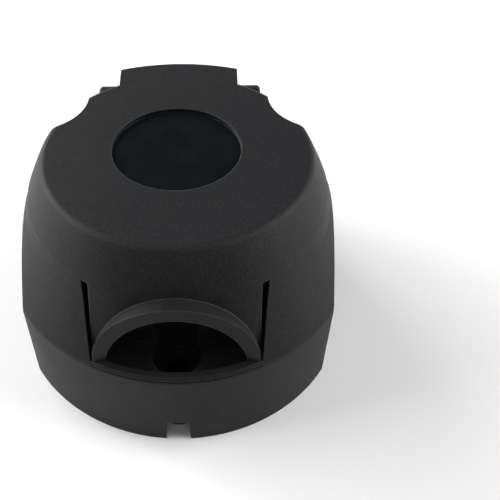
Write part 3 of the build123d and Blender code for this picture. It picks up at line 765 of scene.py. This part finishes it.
def old_front():
    """The room that the CAD lid's own front takes, below the lid's rim and just outside it."""
    foot, head = lid_low[2] - SPARE, LID_RIM_Z + CUT_RISE
    cut, clear = LID_RIM_Z - SEAM_DROP, PLATE_HEAD_R + SEAM_GAP
    profile = [
        (CUT_INNER_R, foot),
        (CUT_OUTER_R, foot),
        (CUT_OUTER_R, head),
        (clear, head),
        (clear, cut),
        (CUT_INNER_R, cut),
    ]
    return sector("old_front", profile, CUT_SPREAD, CUT_STEPS)


print("plate from", round(ARCH_FOOT_Z / MM, 1), "to", round(LID_RIM_Z / MM, 1), "mm high")

# %% Join them to the lid
front = combine(arch_body(), inside_of_plate(), "DIFFERENCE")
front = combine(front, front_plate(), "UNION")
front = combine(front, arch_opening(), "DIFFERENCE")
lid_cover = combine(merged_copy("lid"), old_front(), "DIFFERENCE")
lid_cover = combine(lid_cover, front, "UNION")
lid_cover.name = "lid_cover"
lid_cover.data.materials.clear()
lid_cover.data.materials.append(lid_plastic)
shade(lid_cover)
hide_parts("lid")
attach(lid_cover, "lid")
print("lid cover with", len(lid_cover.data.polygons), "faces")

# %% [markdown]
# ## A kit for Geometry Nodes
#
# A spring and a screw thread follow a rule, so a rule makes them: a curve, a profile swept along
# it, and copies where the part has many. Writing the tree in the script keeps its sizes in
# one place. A named input is reached through its socket's identifier, and the result is turned
# into a plain mesh, because only real faces travel with the exported model.

# %% Geometry Nodes helpers


class Rule(NodeKit):
    """A Geometry Nodes tree with named sizes that ends in real, painted faces."""

    def __init__(self, name):
        super().__init__(bpy.data.node_groups.new(name, "GeometryNodeTree"))
        for way in ("INPUT", "OUTPUT"):
            self.socket("Geometry", way, "NodeSocketGeometry")
        self.entry = self.add("NodeGroupInput")
        self.exit = self.add("NodeGroupOutput")
        self.values = {}

    def socket(self, name, way, kind):
        """A socket of the tree itself."""
        return self.tree.interface.new_socket(name, in_out=way, socket_type=kind)

    def size(self, name, value):
        """A named number that the modifier sets."""
        self.values[self.socket(name, "INPUT", "NodeSocketFloat").identifier] = value
        return self.entry.outputs[name]

    def vector(self, x=0.0, y=0.0, z=0.0):
        """A vector from three numbers or outputs."""
        return self.add("ShaderNodeCombineXYZ", X=x, Y=y, Z=z).outputs[0]

    def line(self, start, end):
        """A straight run between two points."""
        return self.add("GeometryNodeCurvePrimitiveLine", Start=start, End=end).outputs[0]

    def coil(self, steps, turns, radius, length):
        """A round coil along Z, with so many steps to a turn."""
        node = self.add("GeometryNodeCurveSpiral", Resolution=steps, Rotations=turns,
                        Start_Radius=radius, End_Radius=radius, Height=length)
        return node.outputs[0]

    def sweep(self, path, radius, sides):
        """A round bar along a path, with its ends closed."""
        ring = self.add("GeometryNodeCurvePrimitiveCircle", Resolution=sides, Radius=radius)
        node = self.add("GeometryNodeCurveToMesh", Curve=path, Profile_Curve=ring.outputs[0],
                        Fill_Caps=True)
        return node.outputs[0]

    def place(self, geometry, **how):
        """Turns and moves some geometry."""
        return self.add("GeometryNodeTransform", Geometry=geometry, **how).outputs[0]

    def finish(self, geometry, material):
        """Realizes the copies, paints them and closes the tree."""
        real = self.add("GeometryNodeRealizeInstances", Geometry=geometry)
        painted = self.add("GeometryNodeSetMaterial", Geometry=real.outputs[0], Material=material)
        self.feed(self.exit.inputs[0], painted.outputs[0])


def grow(name, rule, start=None):
    """Runs a rule on a starting mesh and returns its result as a plain object."""
    piece = put_in_scene(name, start or bpy.data.meshes.new(name + "_seed"))
    modifier = piece.modifiers.new(name, "NODES")
    modifier.node_group = rule.tree
    for identifier, value in rule.values.items():
        modifier[identifier] = value
    settle(piece)
    piece.data.name = name
    print(name, len(piece.data.polygons), "faces")
    return piece


print("rules ready")

# %% [markdown]
# ## The lid spring
#
# A close coil of steel wire round the pin shuts the lid: one leg lies on the housing and the
# other under the tab. A spiral swept with a circle is that coil exactly, and two short lines are
# its legs. The hinge's place comes from the record, so the spring stays on its pin.

# %% Grow the spring
hinge = Vector(frame["record"]["behaviour"]["joints"][0]["pos_m"])
spring_low, spring_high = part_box("lid_spring")
WIRE_R = 0.5 * MM
WIRE_SIDES = 12
COIL_TURNS = 6.0
COIL_STEPS = 28
LEG_FOOT = 1.3 * MM


def spring_rule():
    """A coil along X at the hinge, with one leg down and one leg up."""
    rule = Rule("coil_and_legs")
    radius = rule.size("Coil radius", (spring_high[1] - spring_low[1]) / 2 - WIRE_R)
    length = rule.size("Coil length", spring_high[0] - spring_low[0] - 2 * WIRE_R)
    wire = rule.size("Wire radius", WIRE_R)
    turns = rule.size("Turns", COIL_TURNS)
    rise = rule.size("Upper leg", spring_high[2] - hinge[2])
    left, right = (rule.maths("MULTIPLY", length, side) for side in (-0.5, 0.5))
    upright = rule.place(rule.coil(COIL_STEPS, turns, radius, length), Rotation=(0.0, 0.0, pi / 2))
    across = rule.place(upright, Rotation=(0.0, pi / 2, 0.0), Translation=rule.vector(x=left))
    down = rule.line(rule.vector(left, radius, -LEG_FOOT), rule.vector(left, radius))
    up = rule.line(rule.vector(right, radius), rule.vector(right, radius, rise))
    both = rule.add("GeometryNodeJoinGeometry")
    for part in (across, down, up):
        rule.feed(both.inputs[0], part)
    bar = rule.sweep(both.outputs[0], wire, WIRE_SIDES)
    placed = rule.place(bar, Translation=tuple(hinge))
    smooth = rule.add("GeometryNodeSetShadeSmooth", Geometry=placed)
    rule.finish(smooth.outputs[0], spring_steel)
    return rule


spring = grow("lid_coil_spring", spring_rule())
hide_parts("lid_spring")
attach(spring, "base")

# %% [markdown]
# ## Threads on the clamp screws
#
# Each contact holds its wire with a small headless screw in the side of its barrel. The CAD
# screws are plain, so thirteen copies of one short spiral ridge give them their thread. The
# copies stand on points that carry the way each screw points as an attribute.

# %% Grow the threads
SCREW_ANGLES = (90, 90, 0, 0, 0, 180, 180, 180, 90, 125, 164, 328, 270)
THREAD_R = 1.2 * MM
THREAD_RIDGE = 0.12 * MM
THREAD_START = 3.2 * MM
THREAD_LENGTH = 0.62 * MM
THREAD_TURNS = 2.0
THREAD_STEPS = 20
RIDGE_SIDES = 6
screw_z = sum(corner[2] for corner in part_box("clamp_screws")) / 2


def screw_points():
    """A mesh of one point for each contact's axis at the screws' height, with the screw's angle."""
    places = []
    for name in contacts:
        low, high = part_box(name)
        places.append(((low[0] + high[0]) / 2, (low[1] + high[1]) / 2, screw_z))
    mesh = bpy.data.meshes.new("screw_points")
    mesh.from_pydata(places, [], [])
    turn = mesh.attributes.new("turn", "FLOAT", "POINT")
    for index, angle in enumerate(SCREW_ANGLES):
        turn.data[index].value = radians(angle)
    return mesh


def thread_rule():
    """One spiral ridge along X, copied to every point and turned as its attribute says."""
    rule = Rule("threads_on_points")
    radius = rule.size("Thread radius", THREAD_R)
    ridge = rule.size("Ridge radius", THREAD_RIDGE)
    length = rule.size("Thread length", THREAD_LENGTH)
    turns = rule.size("Turns", THREAD_TURNS)
    start = rule.size("Start", THREAD_START)
    swept = rule.sweep(rule.coil(THREAD_STEPS, turns, radius, length), ridge, RIDGE_SIDES)
    lying = rule.place(swept, Rotation=(0.0, pi / 2, 0.0), Translation=rule.vector(x=start))
    turn = rule.add("GeometryNodeInputNamedAttribute", {"data_type": "FLOAT"}, Name="turn")
    copies = rule.add("GeometryNodeInstanceOnPoints", Points=rule.entry.outputs[0],
                      Instance=lying, Rotation=rule.vector(z=turn.outputs[0]))
    rule.finish(copies.outputs[0], screw_steel)
    return rule


threads = grow("clamp_screw_threads", thread_rule(), screw_points())
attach(threads, "base")
